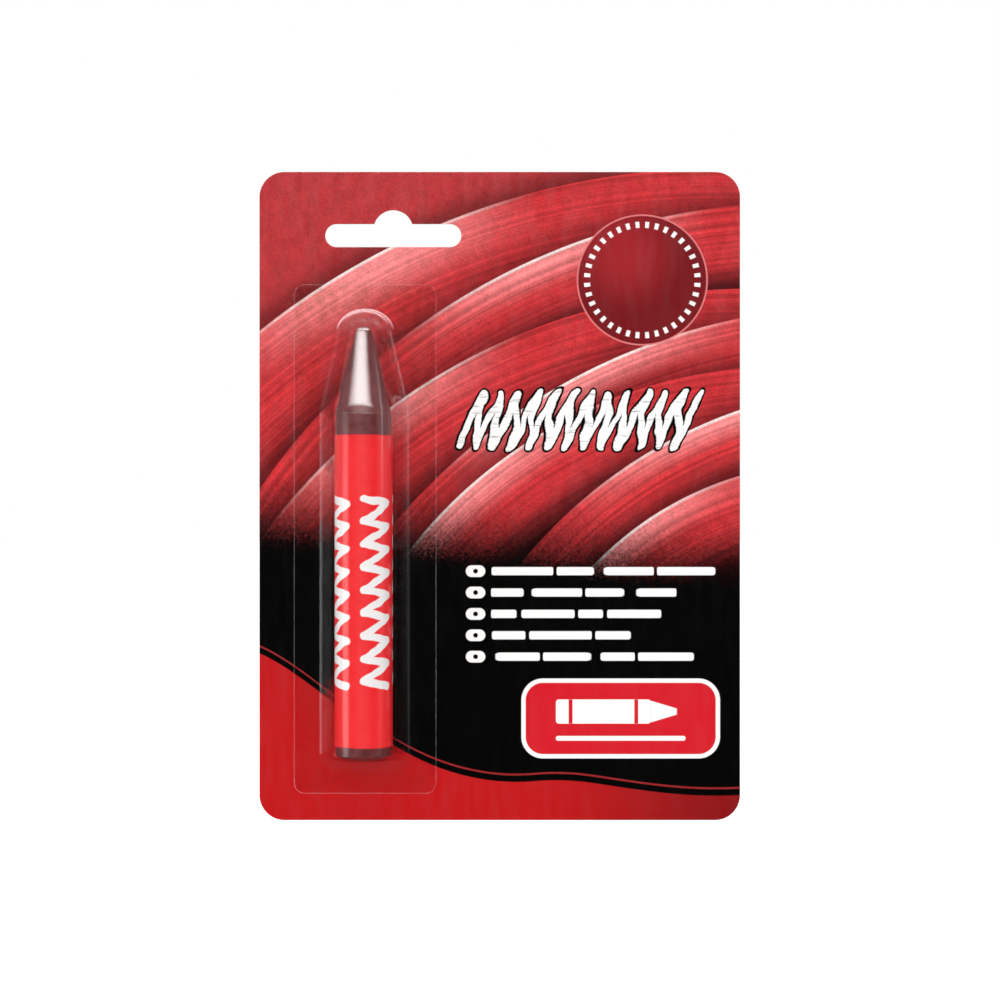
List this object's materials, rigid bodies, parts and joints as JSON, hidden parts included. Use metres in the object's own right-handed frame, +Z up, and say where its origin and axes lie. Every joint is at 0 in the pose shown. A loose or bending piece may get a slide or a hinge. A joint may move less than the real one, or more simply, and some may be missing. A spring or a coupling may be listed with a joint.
{
  "type": "carded wax repair crayon",
  "caption": "Wax repair crayon in a red paper wrapper, loose in a clear blister that is sealed to a printed card with a hang slot.",
  "frame": {"origin": "crown of the hang slot, where a display peg bears, on the back face of the card", "axes": "+Z up along the card's height, +X to the right for someone who looks at the front, the printed front faces -Y"},
  "size_m": [0.1113, 0.0153, 0.1501],
  "materials": {
    "printed_card": "gloss varnished print on the front, plain board behind",
    "seal_lacquer": "clear sealing lacquer",
    "clear_film": "clear thermoformed film, glossy",
    "wax": "dark red-brown wax with a soft sheen",
    "wrapper_paper": "red coated paper with white strokes"
  },
  "bodies": {
    "pack": {"backing_card": "printed_card", "heat_seal": "seal_lacquer", "blister": "clear_film"},
    "crayon": {"wax_stick": "wax"},
    "crayon_paper": {"paper_wrapper": "wrapper_paper"}
  },
  "joints": [
    {"name": "crayon_slide", "type": "slide", "parent": "pack", "child": "crayon", "axis": [0, 0, 1], "range_m": [0, 0.001]},
    {"name": "crayon_roll", "type": "hinge", "parent": "crayon", "child": "crayon_paper", "pos_m": [-0.0065, -0.00778, -0.0874], "axis": [0, 0, 1], "continuous": true}
  ]
}
